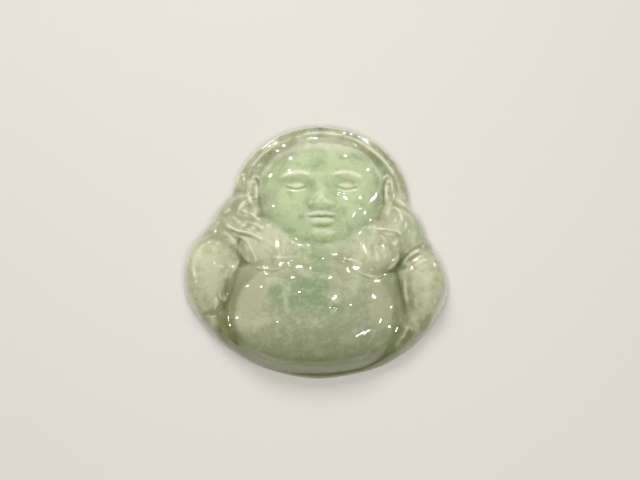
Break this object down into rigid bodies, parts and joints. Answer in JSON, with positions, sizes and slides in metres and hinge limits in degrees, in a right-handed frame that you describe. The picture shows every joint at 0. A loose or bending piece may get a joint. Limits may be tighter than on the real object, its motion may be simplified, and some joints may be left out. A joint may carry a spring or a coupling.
{
  "type": "carved jade pendant",
  "caption": "Carved and polished pale green jade pendant: a seated laughing Buddha in half relief, one piece of stone with a flat back, lying face up.",
  "frame": {"origin": "centre of the box, on the surface that the flat back rests on", "axes": "+Z out of the carved face, +Y towards the figure's head, +X to the viewer's right"},
  "size_m": [0.046, 0.0446, 0.0086],
  "materials": {
    "jade": "polished"
  },
  "bodies": {
    "root": {"jade_buddha_pendant": "jade"}
  },
  "joints": []
}
